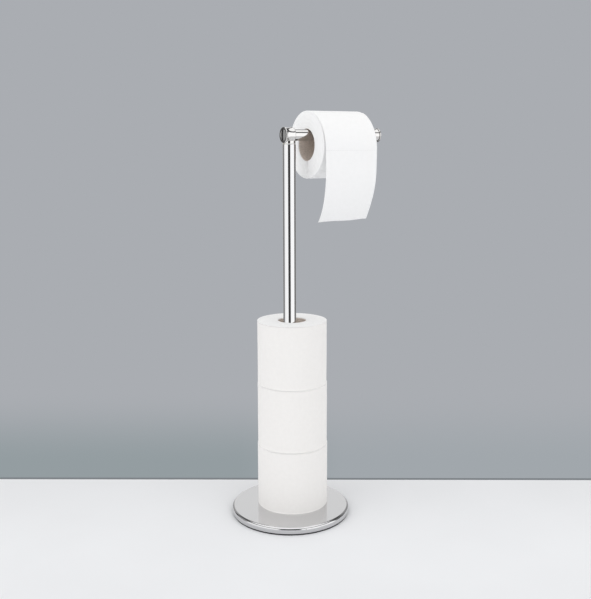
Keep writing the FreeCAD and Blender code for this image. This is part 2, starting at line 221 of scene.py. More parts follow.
def add(tree, kind, inputs=(), stops=(), **settings):
    """Adds a node.

    Settings are its own values. Inputs are numbers, colours or what to link: an output, or a node
    for its first output. Stops are the places and colours of a colour ramp.
    """
    made = tree.nodes.new(kind)
    for name, value in settings.items():
        setattr(made, name, value)
    for socket, value in dict(inputs).items():
        if isinstance(value, bpy.types.Node):
            value = value.outputs[0]
        if isinstance(value, bpy.types.NodeSocket):
            tree.links.new(value, made.inputs[socket])
        else:
            made.inputs[socket].default_value = value
    for index, (place, colour) in enumerate(stops):
        elements = made.color_ramp.elements
        element = elements[index] if index < 2 else elements.new(place)
        element.position = place
        element.color = colour
    return made


def new_material(name):
    """An empty material and its node tree."""
    material = bpy.data.materials.new(name)
    material.use_nodes = True
    material.node_tree.nodes.clear()
    return material, material.node_tree


def grey(level):
    """A linear grey, where 1 is white."""
    return (level, level, level, 1.0)


def polished_tube_steel(name, colour, axis):
    """Stainless steel tube, belt-polished along its length, then buffed to a near mirror.

    The eye sees clear stripes of the room and, close to, faint streaks along the tube, 0.6 mm
    wide and forty times as long.
    """
    material, tree = new_material(name)
    stretch = [1.0, 1.0, 1.0]
    stretch[axis] = 1 / 40
    place = add(tree, "ShaderNodeTexCoord").outputs["Object"]
    drawn = add(tree, "ShaderNodeMapping", {"Vector": place, "Scale": stretch})
    streaks = add(tree, "ShaderNodeTexNoise", {
        "Vector": drawn, "Scale": 1 / (0.6 * MM), "Detail": 3.0, "Roughness": 0.6})
    roughness = add(tree, "ShaderNodeMapRange", {
        "Value": streaks, "From Min": 0.3, "From Max": 0.7, "To Min": 0.05, "To Max": 0.1})
    bump = add(tree, "ShaderNodeBump", {"Height": streaks, "Strength": 0.03, "Distance": 0.01 * MM})
    shader = add(tree, "ShaderNodeBsdfPrincipled", {
        "Base Color": colour, "Metallic": 1.0, "Roughness": roughness, "Normal": bump})
    add(tree, "ShaderNodeOutputMaterial", {"Surface": shader})
    return material


def polished_turned_steel(name, colour):
    """Stainless steel turned from bar and buffed, as on the head and the end knob.

    Short and round, these pieces show small clear highlights, with a little smear from the
    buffing wheel in patches of about 3 mm.
    """
    material, tree = new_material(name)
    place = add(tree, "ShaderNodeTexCoord").outputs["Object"]
    smear = add(tree, "ShaderNodeTexNoise", {"Vector": place, "Scale": 1 / (3.0 * MM), "Detail": 4.0})
    roughness = add(tree, "ShaderNodeMapRange", {
        "Value": smear, "From Min": 0.3, "From Max": 0.7, "To Min": 0.05, "To Max": 0.11})
    shader = add(tree, "ShaderNodeBsdfPrincipled", {
        "Base Color": colour, "Metallic": 1.0, "Roughness": roughness})
    add(tree, "ShaderNodeOutputMaterial", {"Surface": shader})
    return material


def spun_base_steel(name, colour):
    """Stainless steel sheet, pressed and then polished on a spindle, so its lines run in circles.

    A soft mirror: edges of what it reflects stay clear, with faint rings 0.8 mm apart and a haze in
    patches of 25 mm. The wave node repeats every 2 pi / (20 * scale).
    """
    material, tree = new_material(name)
    ring_spacing = 0.8 * MM
    place = add(tree, "ShaderNodeTexCoord").outputs["Object"]
    rings = add(tree, "ShaderNodeTexWave", {
        "Vector": place, "Scale": FULL_TURN / (20 * ring_spacing), "Distortion": 0.6,
        "Detail": 2.0, "Detail Scale": 3.0}, wave_type="RINGS", rings_direction="Z")
    haze = add(tree, "ShaderNodeTexNoise", {"Vector": place, "Scale": 1 / (25 * MM), "Detail": 3.0})
    both = add(tree, "ShaderNodeMath", {0: rings.outputs["Fac"], 1: haze}, operation="ADD")
    roughness = add(tree, "ShaderNodeMapRange", {
        "Value": both, "From Min": 0.4, "From Max": 1.6, "To Min": 0.09, "To Max": 0.16})
    shader = add(tree, "ShaderNodeBsdfPrincipled", {
        "Base Color": colour, "Metallic": 1.0, "Roughness": roughness})
    add(tree, "ShaderNodeOutputMaterial", {"Surface": shader})
    return material


def zinc_plated_steel():
    """Fasteners and inserts: steel with a bright zinc plating, bluish, with faint spots of 2 mm."""
    material, tree = new_material("zinc_plated_steel")
    place = add(tree, "ShaderNodeTexCoord").outputs["Object"]
    mottle = add(tree, "ShaderNodeTexNoise", {"Vector": place, "Scale": 1 / (2.0 * MM), "Detail": 5.0})
    colour = add(tree, "ShaderNodeValToRGB", {"Fac": mottle}, stops=[(0.35, ZINC_BLUISH), (0.65, ZINC_WARM)])
    shader = add(tree, "ShaderNodeBsdfPrincipled", {
        "Base Color": colour, "Metallic": 1.0, "Roughness": 0.32})
    add(tree, "ShaderNodeOutputMaterial", {"Surface": shader})
    return material


def painted_cast_iron():
    """Base weight: sand-cast iron under black paint, with the sand's grain of about 1 mm."""
    material, tree = new_material("painted_cast_iron")
    place = add(tree, "ShaderNodeTexCoord").outputs["Object"]
    grain = add(tree, "ShaderNodeTexNoise", {"Vector": place, "Scale": 1 / (1.0 * MM), "Detail": 3.0})
    bump = add(tree, "ShaderNodeBump", {"Height": grain, "Strength": 0.6, "Distance": 0.1 * MM})
    shader = add(tree, "ShaderNodeBsdfPrincipled", {
        "Base Color": IRON_PAINT_BLACK, "Roughness": 0.5, "Normal": bump})
    add(tree, "ShaderNodeOutputMaterial", {"Surface": shader})
    return material


def black_foam_pad():
    """Anti-slip pad: closed-cell foam rubber, matt, with cells of about 0.7 mm."""
    material, tree = new_material("closed_cell_foam")
    place = add(tree, "ShaderNodeTexCoord").outputs["Object"]
    cells = add(tree, "ShaderNodeTexVoronoi", {"Vector": place, "Scale": 1 / (0.7 * MM)})
    colour = add(tree, "ShaderNodeValToRGB", {"Fac": cells},
                 stops=[(0.1, FOAM_CELL_BLACK), (0.7, FOAM_WALL_BLACK)])
    bump = add(tree, "ShaderNodeBump", {"Height": cells, "Strength": 0.5, "Distance": 0.1 * MM})
    shader = add(tree, "ShaderNodeBsdfPrincipled", {"Base Color": colour, "Roughness": 0.9, "Normal": bump})
    add(tree, "ShaderNodeOutputMaterial", {"Surface": shader})
    return material


def moulded_nylon():
    """Sleeve in the post's mouth: moulded nylon, milky and slightly waxy, its gloss uneven over 4 mm."""
    material, tree = new_material("moulded_nylon")
    place = add(tree, "ShaderNodeTexCoord").outputs["Object"]
    flow = add(tree, "ShaderNodeTexNoise", {"Vector": place, "Scale": 1 / (4.0 * MM)})
    roughness = add(tree, "ShaderNodeMapRange", {"Value": flow, "To Min": 0.35, "To Max": 0.5})
    shader = add(tree, "ShaderNodeBsdfPrincipled", {
        "Base Color": NYLON_WHITE, "Roughness": roughness, "IOR": 1.53,
        "Subsurface Weight": 0.2, "Subsurface Scale": 1.0 * MM})
    add(tree, "ShaderNodeOutputMaterial", {"Surface": shader})
    return material


def creped_tissue(name, colour, perforation=None):
    """Two-ply tissue, creped and lightly embossed.

    Soft and matt, with a fine crepe of ridges across the web, drawn 1.2 mm apart where the real
    ones are about 0.3 mm, and dots pressed through both plies, 7 mm apart across and along, where
    two diagonal waves meet. The pattern follows the piece's own UV map, in metres: across the web,
    then along it. Clouds of fibres, 6 mm across, tint it faintly. A perforation, given by its place
    along the web, is a row of cuts 3 mm long, drawn 0.3 mm wide to show, with bridges of 1 mm. The
    cuts are painted grey: painted shade in the slits.
    """
    material, tree = new_material(name)
    dot_spacing = 7.0 * MM
    cloth = add(tree, "ShaderNodeUVMap", uv_map="UVMap")
    across, along = add(tree, "ShaderNodeSeparateXYZ", {"Vector": cloth}).outputs[:2]
    crepe_place = add(tree, "ShaderNodeMapping", {"Vector": cloth, "Scale": (0.15, 1.0, 1.0)})
    crepe = add(tree, "ShaderNodeTexNoise", {
        "Vector": crepe_place, "Scale": 1 / (1.2 * MM), "Detail": 3.0, "Roughness": 0.6})
    diagonals = []
    for operation in ("ADD", "SUBTRACT"):
        place = add(tree, "ShaderNodeMath", {0: across, 1: along}, operation=operation)
        turn = add(tree, "ShaderNodeMath", {0: place, 1: FULL_TURN / (2 * dot_spacing)}, operation="MULTIPLY")
        diagonals.append(add(tree, "ShaderNodeMath", {0: turn}, operation="COSINE"))
    dots = add(tree, "ShaderNodeMath", {0: diagonals[0], 1: diagonals[1]}, operation="MULTIPLY")
    pressed = add(tree, "ShaderNodeMapRange", {
        "Value": dots, "From Min": 0.8, "From Max": 1.0, "To Min": 1.0, "To Max": 0.0})
    fibres = add(tree, "ShaderNodeTexNoise", {"Vector": cloth, "Scale": 1 / (6.0 * MM), "Detail": 4.0})
    web_colour = add(tree, "ShaderNodeValToRGB", {"Fac": fibres},
                     stops=[(0.3, darker(colour, 0.98)), (0.7, colour)])
    if perforation is not None:
        cut_length, cut_width, bridge = 3 * MM, 0.3 * MM, 1 * MM
        on_line = add(tree, "ShaderNodeMath", {0: along, 1: perforation, 2: cut_width / 2},
                      operation="COMPARE")
        cuts = add(tree, "ShaderNodeMath", {0: across, 1: 1 / (cut_length + bridge)}, operation="MULTIPLY")
        place_in_cut = add(tree, "ShaderNodeMath", {0: cuts}, operation="FRACT")
        open_cut = add(tree, "ShaderNodeMath", {0: place_in_cut, 1: cut_length / (cut_length + bridge)},
                       operation="LESS_THAN")
        slit = add(tree, "ShaderNodeMath", {0: on_line, 1: open_cut}, operation="MULTIPLY")
        # painted shade: each cut is drawn in flat grey, as the shade inside the slit
        slitted = add(tree, "ShaderNodeMix", {0: slit, 6: web_colour, 7: grey(0.78)}, data_type="RGBA")
        web_colour = slitted.outputs[2]
    soft = add(tree, "ShaderNodeBump", {"Height": crepe, "Strength": 0.35, "Distance": 0.12 * MM})
    dimpled = add(tree, "ShaderNodeBump", {
        "Height": pressed, "Strength": 0.4, "Distance": 0.12 * MM, "Normal": soft})
    shader = add(tree, "ShaderNodeBsdfPrincipled", {
        "Base Color": web_colour, "Roughness": 0.95, "Specular IOR Level": 0.2,
        "Sheen Weight": 0.08, "Sheen Roughness": 0.6, "Normal": dimpled})
    add(tree, "ShaderNodeOutputMaterial", {"Surface": shader})
    return material


def cut_tissue_edges(name, colour):
    """A roll's end: hundreds of sawn tissue edges, matt and a little greyer than the web.

    Fine fuzz of about 0.8 mm shows between the windings, which are in the mesh.
    """
    material, tree = new_material(name)
    place = add(tree, "ShaderNodeTexCoord").outputs["Object"]
    fuzz = add(tree, "ShaderNodeTexNoise", {"Vector": place, "Scale": 1 / (0.8 * MM), "Detail": 3.0})
    tint = add(tree, "ShaderNodeValToRGB", {"Fac": fuzz},
               stops=[(0.3, darker(colour, 0.985)), (0.75, colour)])
    bump = add(tree, "ShaderNodeBump", {"Height": fuzz, "Strength": 0.5, "Distance": 0.15 * MM})
    shader = add(tree, "ShaderNodeBsdfPrincipled", {
        "Base Color": tint, "Roughness": 1.0, "Specular IOR Level": 0.15, "Normal": bump})
    add(tree, "ShaderNodeOutputMaterial", {"Surface": shader})
    return material


def wound_cardboard(colour):
    """Core board: recycled grey-brown board, matt, with short fibres and darker flecks of 2 mm."""
    material, tree = new_material("wound_cardboard")
    place = add(tree, "ShaderNodeTexCoord").outputs["Object"]
    fibres = add(tree, "ShaderNodeTexNoise", {
        "Vector": place, "Scale": 1 / (2.0 * MM), "Detail": 6.0, "Roughness": 0.7})
    tint = add(tree, "ShaderNodeValToRGB", {"Fac": fibres},
               stops=[(0.3, darker(colour, 0.72)), (0.6, colour)])
    bump = add(tree, "ShaderNodeBump", {"Height": fibres, "Strength": 0.4, "Distance": 0.08 * MM})
    shader = add(tree, "ShaderNodeBsdfPrincipled", {"Base Color": tint, "Roughness": 0.85, "Normal": bump})
    add(tree, "ShaderNodeOutputMaterial", {"Surface": shader})
    return material


def finish_nodes(material, *names):
    """Gives CAD nodes one material."""
    for name in names:
        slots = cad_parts[name].data.materials
        slots.clear()
        slots.append(material)


# Meshes

def grid_piece(name, points, uv, row_materials, materials, wrap_rows=False, wrap_columns=False):
    """A mesh object from a grid of points: each square of four neighbouring points is one face.

    A wrapped direction joins its last line of points to its first, and there uv has one line
    more than points, so that a pattern runs on across the join. A closed mesh is turned so that
    its faces point outwards: the sum of a . (b x c) over its triangles, which is six times its
    volume, comes out positive.
    """
    rows, columns = points.shape[:2]
    row, column = np.meshgrid(np.arange(rows - (not wrap_rows)), np.arange(columns - (not wrap_columns)),
                              indexing="ij")
    corner_rows = np.stack([row, row + 1, row + 1, row], -1).reshape(-1, 4)
    corner_columns = np.stack([column, column, column + 1, column + 1], -1).reshape(-1, 4)
    quads = (corner_rows % rows) * columns + corner_columns % columns
    flat = points.reshape(-1, 3)
    a, b, c, d = (flat[quads[:, k]] for k in range(4))
    turned = np.einsum("ij,ij->", a, np.cross(b, c)) + np.einsum("ij,ij->", a, np.cross(c, d))
    corner_uv = uv[corner_rows, corner_columns]
    if turned < 0 and wrap_rows and wrap_columns:
        quads, corner_uv = quads[:, ::-1], corner_uv[:, ::-1]
    mesh = bpy.data.meshes.new(name)
    mesh.from_pydata(flat, [], quads)
    mesh.uv_layers.new(name="UVMap").data.foreach_set("uv", corner_uv.astype(np.float32).ravel())
    mesh.polygons.foreach_set("material_index", row_materials[corner_rows[:, 0] % rows].astype(np.int32))
    mesh.polygons.foreach_set("use_smooth", np.ones(len(quads), bool))
    for material in materials:
        mesh.materials.append(material)
    mesh.validate()
    mesh.update()
    piece = bpy.data.objects.new(name, mesh)
    bpy.context.scene.collection.objects.link(piece)
    return piece


def ring_place(node, axis):
    """Centre of a round CAD node's near end, its outer radius and its length along an axis."""
    low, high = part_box(node)
    centre = (low + high) / 2
    centre[axis] = low[axis]
    side = (axis + 1) % 3
    return np.array(centre), (high[side] - low[side]) / 2, high[axis] - low[axis]


def place_section(radii, stations, angles, centre, axes):
    """Points of a section turned about its axis.

    Each is centre + axis * station + (first * cos + second * sin) * radius.
    """
    along, first, second = (np.array(a, float) for a in axes)
    return (centre + along * stations[..., None]
            + (first * np.cos(angles)[..., None] + second * np.sin(angles)[..., None]) * radii[..., None])


# Rolls

def waves(turn, along, phase):
    """Smooth unevenness between 0 and 1 from three sines of the turn and the place along the axis."""
    return 0.5 + (np.sin(2 * turn + phase) * 0.5
                  + np.sin(3 * turn + FULL_TURN * along + 2.1 * phase) * 0.3
                  + np.sin(5 * turn - 2 * FULL_TURN * along + 3.7 * phase) * 0.2) / 2


def roll_section(bore, radius, width, edge, face_points):
    """A roll's section: out along its near end, along its wall and in along its far end.

    It is a rectangle whose outer corners are quarter circles, as columns of radii and of stations
    along the axis. near and far say how far each point belongs to either end: 1 on the end
    itself, and the cosine of the way round the corner beside it.
    """
    corner_points, wall_points = 6, 34
    corner = np.linspace(0.0, math.pi / 2, corner_points)[1:-1]
    face = np.linspace(bore, radius - edge, face_points)
    wall = np.linspace(edge, width - edge, wall_points)
    rounded = radius - edge + edge * np.sin(corner)
    lift = edge - edge * np.cos(corner)
    radii = np.concatenate([face, rounded, np.full(len(wall), radius), rounded[::-1], face[::-1]])
    stations = np.concatenate([np.zeros(face_points), lift, wall, width - lift[::-1],
                               np.full(face_points, width)])
    near = np.concatenate([np.ones(face_points), np.cos(corner),
                           np.zeros(len(wall) + len(corner) + face_points)])
    return radii[:, None], stations[:, None], near[:, None], near[::-1, None]


def end_relief(out, share, turn, phase, sizes):
    """How far a roll's end lies back, at a distance and a share of the way out from the bore.

    The windings are a spiral of ridges, depth * (1 - cos(2 pi distance / pitch - turn)) / 2. Slow
    sines, of 9 and 23 radians over the way out, make some windings stand back by up to 0.3 mm more.
    Both fade at the bore and at the wall as the fourth root of sin(pi * share).
    """
    slow_depth = 0.3 * MM
    ridges = sizes.winding_depth * (
        0.5 - 0.5 * np.cos(FULL_TURN * (out / sizes.winding_pitch - turn / FULL_TURN)))
    slow = slow_depth * (0.5 + 0.5 * np.sin(9 * share + phase) * np.sin(23 * share + 2 * phase + turn))
    return (ridges + slow) * np.sin(math.pi * np.clip(share, 0.0, 1.0)) ** 0.25


def crease_dent(out, beside, depth):
    """A narrow dent in a roll's end: depth * exp(-(distance beside its line / spread) ^ 2).

    It fades evenly over its reach from the bore.
    """
    spread, reach = 2.4 * MM, 26 * MM
    return depth * np.clip(1.0 - out / reach, 0.0, 1.0) * np.exp(-(beside / spread) ** 2)


def wound_roll(name, centre, axes, bore, radius, width, tail, step, phase, edge, crease, sizes, materials):
    """A roll of wound tissue as one closed ring, its section turned round its axis.

    From the tail's angle the radius grows by the step in one turn, and falls back over the last
    0.3 mm, where the sheet ends: the step is one sheet, or nothing where the loose end is a piece
    of its own. The ends lie back by end_relief, and the near one also by crease_dent, straight
    below the bore. The wall sinks by up to the softness, as waves says.
    """
    points_per_winding, points_round, sheet_end = 4, 180, 0.3 * MM
    face_points = int(points_per_winding * (radius - edge - bore) / sizes.winding_pitch)
    radii, stations, near, far = roll_section(bore, radius, width, edge, face_points)
    turn = np.linspace(0.0, FULL_TURN, points_round, endpoint=False)
    turn = np.append(turn, FULL_TURN - sheet_end / radius)
    out = radii - bore
    share = out / (radius - bore)
    inward = end_relief(out, share, turn, phase, sizes)
    inward = inward + near * crease_dent(out, (turn + tail - math.pi) * radii, crease)
    growth = step * share * (turn / FULL_TURN - 1.0)
    sink = sizes.softness * (1.0 - near - far) * waves(turn, stations / width, phase)
    points = place_section(radii + growth - sink, stations + inward * (near - far), turn + tail, centre, axes)
    across = np.append(stations, 0.0)[:, None]
    uv = np.stack(np.broadcast_arrays(across, np.append(turn, FULL_TURN) * radius), -1)
    row_materials = np.where(near + far > 0.5, 1, 0).ravel()
    # the last row of faces is the bore, from the far end back to the near one
    row_materials[-1] = 1
    return grid_piece(name, points, uv, row_materials, materials, wrap_rows=True, wrap_columns=True)


def board_core(name, centre, axes, outer, width, board, material):
    """A spiral-wound cardboard tube as one closed ring, standing just clear of the paper round it.

    Its inner wall has a groove along a helix: seam depth * exp(-(distance / spread) ^ 2), with the
    distance taken along the axis from the nearest station = lead * turn / full turn.
    """
    inside_points, outside_points, points_round = 140, 4, 120
    spread, paper_gap = 0.6 * MM, 0.05 * MM
    inside = np.linspace(board.recess, width - board.recess, inside_points)
    outside = np.linspace(width - board.recess, board.recess, outside_points)
    stations = np.concatenate([inside, outside])[:, None]
    on_inside = np.arange(len(stations))[:, None] < len(inside)
    turn = np.linspace(0.0, FULL_TURN, points_round, endpoint=False)
    offset = stations - board.seam_lead * turn / FULL_TURN
    nearest = (offset + board.seam_lead / 2) % board.seam_lead - board.seam_lead / 2
    bore = outer - board.wall
    groove = board.seam_depth * np.exp(-(nearest / spread) ** 2)
    radii = np.where(on_inside, bore + groove, outer - paper_gap)
    points = place_section(radii, stations, turn, centre, axes)
    across = np.append(stations, 0.0)[:, None]
    uv = np.stack(np.broadcast_arrays(across, np.append(turn, FULL_TURN) * bore), -1)
    return grid_piece(name, points, uv, np.zeros(len(stations), int), [material],
                      wrap_rows=True, wrap_columns=True)


def roll_materials(spare):
    """Tissue and cut edges of the hanging roll or of the spare rolls, and cardboard, each made once."""
    paper, board = bpy.context.scene.holder_paper, bpy.context.scene.holder_board
    found = bpy.data.materials
    if "wound_cardboard" not in found:
        wound_cardboard(list(board.colour))
    web, edges = ("spare_tissue", "spare_cut_edges") if spare else ("creped_tissue", "cut_tissue_edges")
    if web not in found:
        white = list(paper.colour)
        creped_tissue(web, list(paper.spare_colour) if spare else white)
        cut_tissue_edges(edges, darker(white, 0.95) if spare else white)
    return [found[web], found[edges]], found["wound_cardboard"]


def dress_roll(name, axis, tail, phase, edge, crease=0.0):
    """Builds a roll's paper and core in the place of its two CAD nodes."""
    sizes, board = bpy.context.scene.holder_paper, bpy.context.scene.holder_board
    tissue, cardboard = roll_materials(name in SPARE_ROLLS)
    centre, radius, width = ring_place(name + "_paper", axis)
    core_centre, core_radius, core_width = ring_place(name + "_core", axis)
    step = sizes.thickness
    if name == "hanging_roll":
        # the loose end leaves the roll here, so the wall under it is one sheet lower all the way round
        radius, step = radius - sizes.thickness - sizes.clearance, 0.0
    paper = wound_roll(name + "_tissue", centre, AXES[axis], core_radius, radius, width, tail, step,
                       phase, edge, crease, sizes, tissue)
    core = board_core(name + "_board", core_centre, AXES[axis], core_radius, core_width, board, cardboard)
    for piece, node, slot in ((paper, name + "_paper", "tissue"), (core, name + "_core", "core_board")):
        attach(piece, name)
        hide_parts(node)
    return paper


# Pieces

class HOLDER_OT_steel(bpy.types.Operator):
    """Give the stand, the head and the arm their steel"""

    bl_idname = "holder.finish_steel"
    bl_label = "Finish Steel Pieces"
    bl_options = {"REGISTER", "UNDO"}

    def execute(self, context):
        steel = list(context.scene.holder_steel.colour)
        bright = list(context.scene.holder_steel.bright_colour)
        finish_nodes(polished_tube_steel("polished_post_steel", steel, POST_AXIS),
                     "post_lower_tube", "post_upper_tube")
        finish_nodes(polished_tube_steel("polished_arm_steel", bright, ARM_AXIS), "arm_tube")
        finish_nodes(polished_turned_steel("polished_head_steel", bright),
                     "head_tee", "head_end_cap", "arm_end_neck", "arm_end_disc", "head_spigot")
        finish_nodes(spun_base_steel("spun_base_steel", steel), "base_cover")
        return {"FINISHED"}


class HOLDER_OT_inside(bpy.types.Operator):
    """Give the weight, the pad, the sleeve and the fasteners their materials"""

    bl_idname = "holder.finish_inside"
    bl_label = "Finish Inner Pieces"
    bl_options = {"REGISTER", "UNDO"}

    def execute(self, context):
        finish_nodes(painted_cast_iron(), "base_weight")
        finish_nodes(black_foam_pad(), "anti_slip_pad")
        finish_nodes(moulded_nylon(), "spigot_sleeve")
        finish_nodes(zinc_plated_steel(), "base_bolt", "flat_washer", "spring_washer", "post_foot_insert",
                     "post_joiner", "arm_set_screw")
        return {"FINISHED"}


class HOLDER_OT_spare_rolls(bpy.types.Operator):
    """Wind the spare rolls that stand on the base"""

    bl_idname = "holder.wind_spare_rolls"
    bl_label = "Wind Spare Rolls"
    bl_options = {"REGISTER", "UNDO"}

    def execute(self, context):
        edge = context.scene.holder_paper.edge_radius
        for index, name in enumerate(SPARE_ROLLS):
            # each roll stands turned its own way and has its own soft places
            paper = dress_roll(name, POST_AXIS, tail=math.radians(35.0 + 70.0 * index),
                               phase=1.3 + 2.2 * index, edge=edge)
        # the steel doesn't mirror the top roll, but the base mirrors the lower two
        paper.visible_glossy = False
        return {"FINISHED"}


class HOLDER_OT_hanging_roll(bpy.types.Operator):
    """Wind the roll that hangs on the arm"""

    bl_idname = "holder.wind_hanging_roll"
    bl_label = "Wind Hanging Roll"
    bl_options = {"REGISTER", "UNDO"}

    def execute(self, context):
        sizes = context.scene.holder_paper
        paper = dress_roll("hanging_roll", ARM_AXIS, tail=context.scene.holder_sheet.start_angle,
                           phase=0.4, edge=sizes.worn_edge_radius, crease=sizes.crease_depth)
        # the steel doesn't mirror this roll
        paper.visible_glossy = False
        return {"FINISHED"}


def sheet_line(sheet, seat, distance):
    """The loose end's section as depth in front of the roll's axis, height above it, and the normal.

    It is an arc of the bow radius off the roll, a straight run down, and an arc of the curl
    radius back, each tangent to the next; distance is measured along it from where it starts.
    """
    bow_length = sheet.bow_radius * (math.pi / 2 - sheet.start_angle)
    shift = sheet.bow_radius - seat
    bow_front = -shift * math.sin(sheet.start_angle)
    bow_height = -shift * math.cos(sheet.start_angle)
    angle = sheet.start_angle + np.clip(distance, 0.0, bow_length) / sheet.bow_radius
    fall = np.clip(distance - bow_length, 0.0, sheet.straight_length)
    curl = np.clip(distance - bow_length - sheet.straight_length, 0.0, None) / sheet.curl_radius
    front = bow_front + sheet.bow_radius * np.sin(angle) - sheet.curl_radius * (1.0 - np.cos(curl))
    height = bow_height + sheet.bow_radius * np.cos(angle) - fall - sheet.curl_radius * np.sin(curl)
    return front, height, np.sin(angle + curl), np.cos(angle + curl)


def towards_left(across, width):
    """1 at the loose end's left edge, 0 down its middle and -1 at its right edge."""
    return 1.0 - 2.0 * across / width


def sheet_offset(sheet, across, along, width, length):
    """How far the loose end stands out from its line, along the normal.

    Past the first 60 mm it comes to hang free, as s * s * (3 - 2 s) with s from 0 there to 1 at its
    end. The more it does, the more its left edge stands out, by up to half the twist, and its right
    edge back, and the more two soft ripples show: 1.3 waves across it, and a wave every 70 mm down.
    """
    free_from, waves_across, wave_down = 60 * MM, 1.3, 70 * MM
    height_across, height_down = 0.7 * MM, 0.4 * MM
    side = towards_left(across, width)
    share = np.clip((along - free_from) / (length - free_from), 0.0, 1.0)
    hang = share * share * (3.0 - 2.0 * share)
    ripple = hang * (height_across * np.sin(FULL_TURN * across / width * waves_across + 3.0 * share)
                     + height_down * np.sin(FULL_TURN * along / wave_down) * side)
    return hang * sheet.twist / 2 * side + ripple


class HOLDER_OT_loose_sheet(bpy.types.Operator):
    """Hang the roll's loose end"""

    bl_idname = "holder.hang_loose_sheet"
    bl_label = "Hang Loose Sheet"
    bl_options = {"REGISTER", "UNDO"}

    def execute(self, context):
        sheet, paper = context.scene.holder_sheet, context.scene.holder_paper
        centre, radius, width = ring_place("hanging_roll_paper", ARM_AXIS)
        seat = radius - paper.thickness / 2
        length = (sheet.bow_radius * (math.pi / 2 - sheet.start_angle) + sheet.straight_length
                  + sheet.curl_radius * sheet.curl_angle)
        # each row of points runs down the sheet to its torn edge, which is a little askew
        rows, points_down = 96, 200
        across = np.linspace(0.0, width, rows)[:, None]
        row_length = length - sheet.slant / 2 * towards_left(across, width)
        along = row_length * np.linspace(0.0, 1.0, points_down)
        front, height, out_front, out_up = sheet_line(sheet, seat, along)
        offset = sheet_offset(sheet, across, along, width, length)
        points = np.stack(np.broadcast_arrays(
            centre[0] + across,
            centre[1] - front - offset * out_front,
            centre[2] + height + offset * out_up), -1)
        uv = np.stack(np.broadcast_arrays(across, along), -1)
        web = creped_tissue("perforated_tissue", list(paper.colour), length - sheet.torn_from)
        piece = grid_piece("loose_sheet_tissue", points, uv, np.zeros(rows, int), [web])
        # where it leaves the roll it has a tenth of its thickness, which then grows to the whole
        group = piece.vertex_groups.new(name="thickness")
        first_share, growing_length = 0.1, 8 * MM
        weights = np.clip(first_share + along / growing_length, 0.0, 1.0).ravel()
        for level in np.unique(weights):
            group.add(np.flatnonzero(weights == level).tolist(), float(level), "REPLACE")
        thick = piece.modifiers.new("thickness", "SOLIDIFY")
        thick.thickness = paper.thickness
        thick.offset = 0.0
        thick.vertex_group = "thickness"
        # the steel doesn't mirror this piece
        piece.visible_glossy = False
        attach(piece, "loose_end")
        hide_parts("loose_sheet")
        return {"FINISHED"}


# Stage

